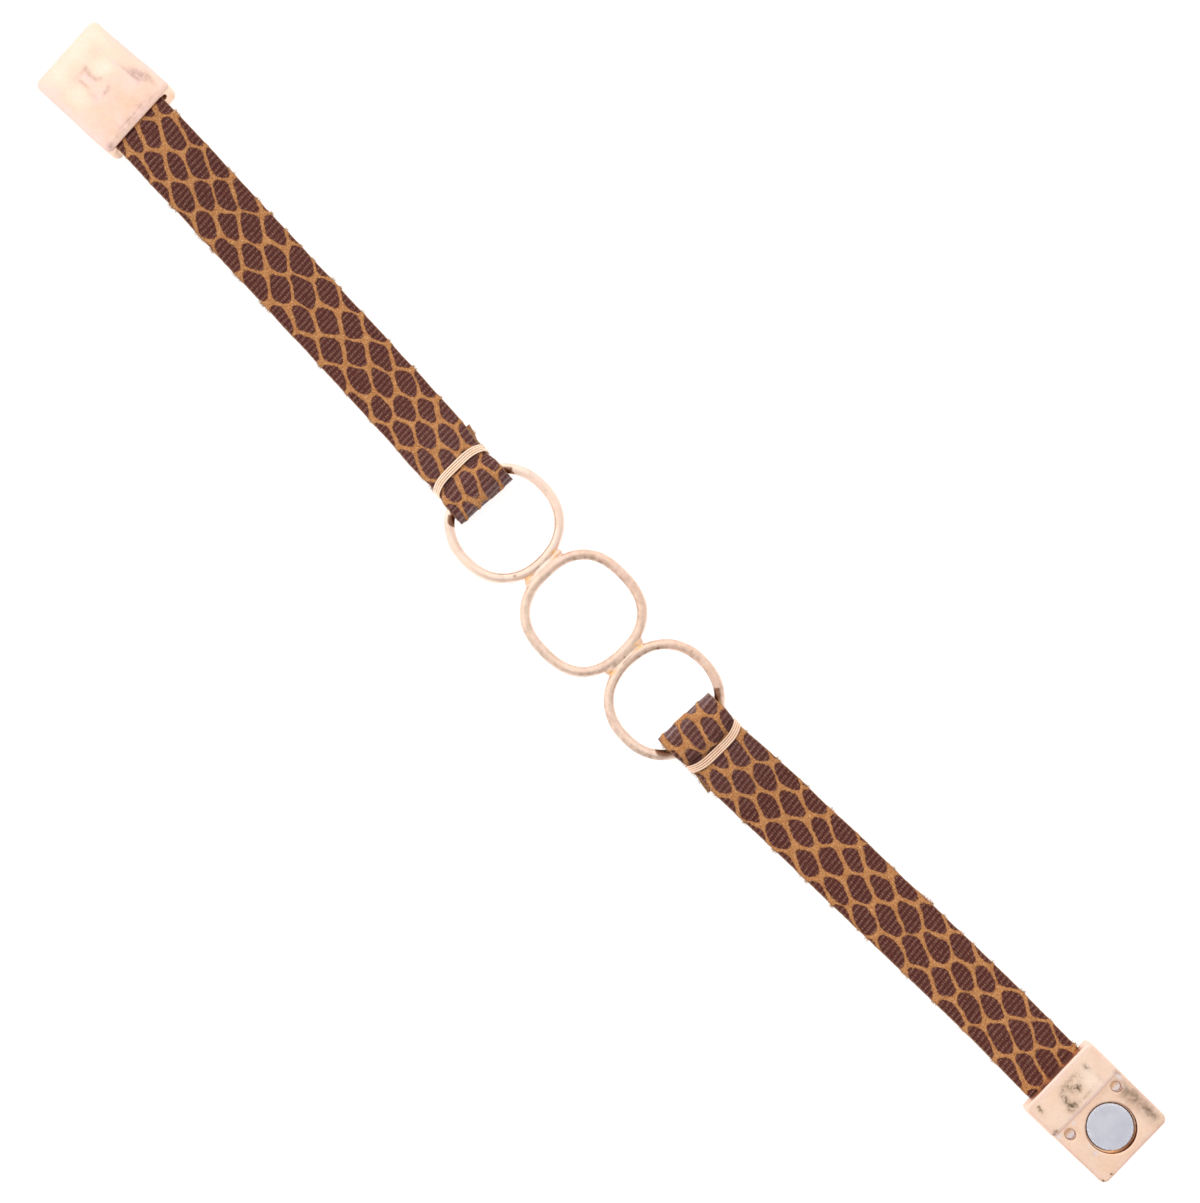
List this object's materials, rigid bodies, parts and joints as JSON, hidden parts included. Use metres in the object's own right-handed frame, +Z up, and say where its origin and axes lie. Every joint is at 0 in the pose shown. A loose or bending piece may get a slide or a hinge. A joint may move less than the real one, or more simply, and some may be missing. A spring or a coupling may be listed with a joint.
{
  "type": "magnetic bracelet",
  "caption": "Flat snake-print leather bracelet laid open, its straps joined by soldered wire rings, with a stepped magnetic clasp.",
  "frame": {"origin": "middle of the laid-out bracelet's box, on the surface that it lies on", "axes": "+X along the bracelet to the inner clasp half, +Z up from the surface"},
  "size_m": [0.2016, 0.0177, 0.0043],
  "materials": {
    "rose_gold_casting": "hammered casting with polished rose gold plate",
    "nickel_magnet": "satin nickel plate",
    "snake_print_leather": "fine ribbed leather with brown scales printed on tan",
    "rose_gold_fine_wire": "polished fine wire",
    "rose_gold_rings": "polished plated wire with yellow solder"
  },
  "bodies": {
    "root": {"outer_clasp": "rose_gold_casting", "outer_magnet": "nickel_magnet", "inner_clasp": "rose_gold_casting", "inner_magnet": "nickel_magnet", "outer_strap": "snake_print_leather", "inner_strap": "snake_print_leather", "outer_binding": "rose_gold_fine_wire", "inner_binding": "rose_gold_fine_wire", "ring_trio": "rose_gold_rings"}
  },
  "joints": []
}
